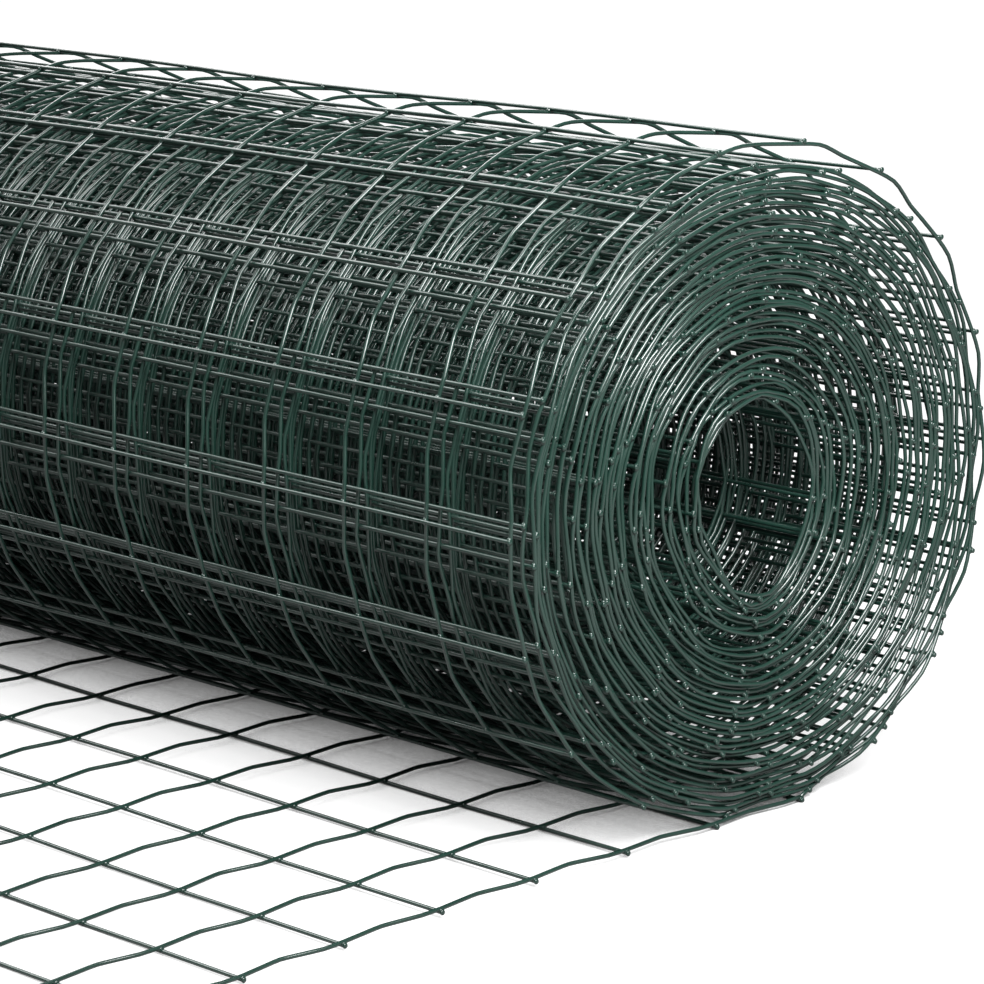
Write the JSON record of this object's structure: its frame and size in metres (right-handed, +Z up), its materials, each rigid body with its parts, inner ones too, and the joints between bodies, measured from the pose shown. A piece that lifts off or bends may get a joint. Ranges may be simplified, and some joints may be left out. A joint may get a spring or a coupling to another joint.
{
  "type": "roll of wire fencing",
  "caption": "Roll of dark-green coated welded wire mesh lying on its side, with a loose outer turn and its free end unrolled flat on the floor.",
  "frame": {"origin": "on the floor, at the middle of the whole object's footprint", "axes": "+X along the roll's axis, -Y the way the free end is unrolled, +Z up"},
  "size_m": [0.8248, 0.5379, 0.2854],
  "materials": {
    "coated_wire": "semi-gloss dark-green plastic coat on steel wire"
  },
  "bodies": {
    "root": {"wound_roll": "coated_wire", "outer_turn": "coated_wire", "unrolled_mesh": "coated_wire"}
  },
  "joints": []
}
